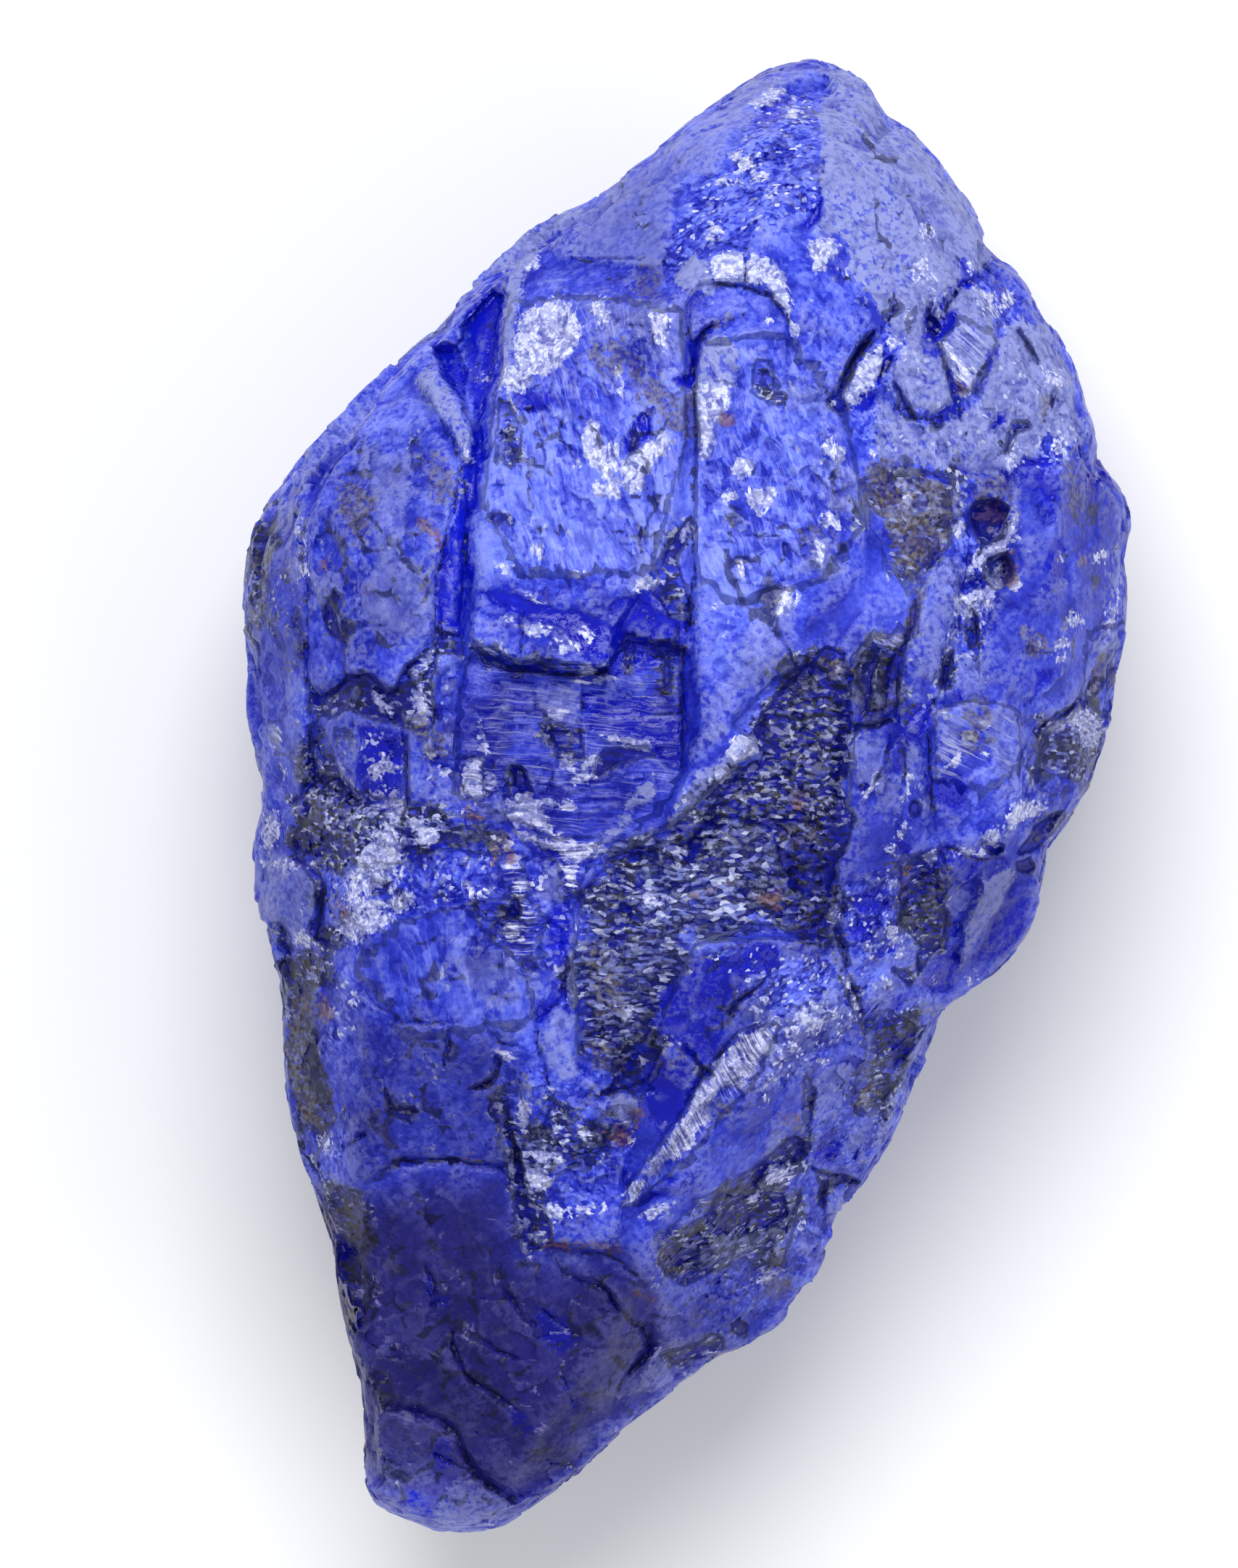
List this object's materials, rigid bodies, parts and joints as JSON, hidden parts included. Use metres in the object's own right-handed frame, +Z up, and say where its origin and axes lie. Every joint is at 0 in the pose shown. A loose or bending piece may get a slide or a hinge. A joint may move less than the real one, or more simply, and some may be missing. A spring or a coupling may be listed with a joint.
{
  "type": "rough sapphire crystal",
  "caption": "Rough, opaque royal-blue sapphire crystal with broken faces, ledges and dark mineral bands, lying on its back.",
  "frame": {"origin": "on the surface the stone rests on, under the middle of its box", "axes": "+Z up through the pictured face, +Y along the stone's length towards its blunt upper tip, +X to the right of the pictured face"},
  "size_m": [0.0542, 0.09, 0.0379],
  "materials": {
    "sapphire": "rough broken crystal with a waxy sheen, royal blue with paler frosted faces and dark mineral specks"
  },
  "bodies": {
    "root": {"sapphire": "sapphire"}
  },
  "joints": []
}
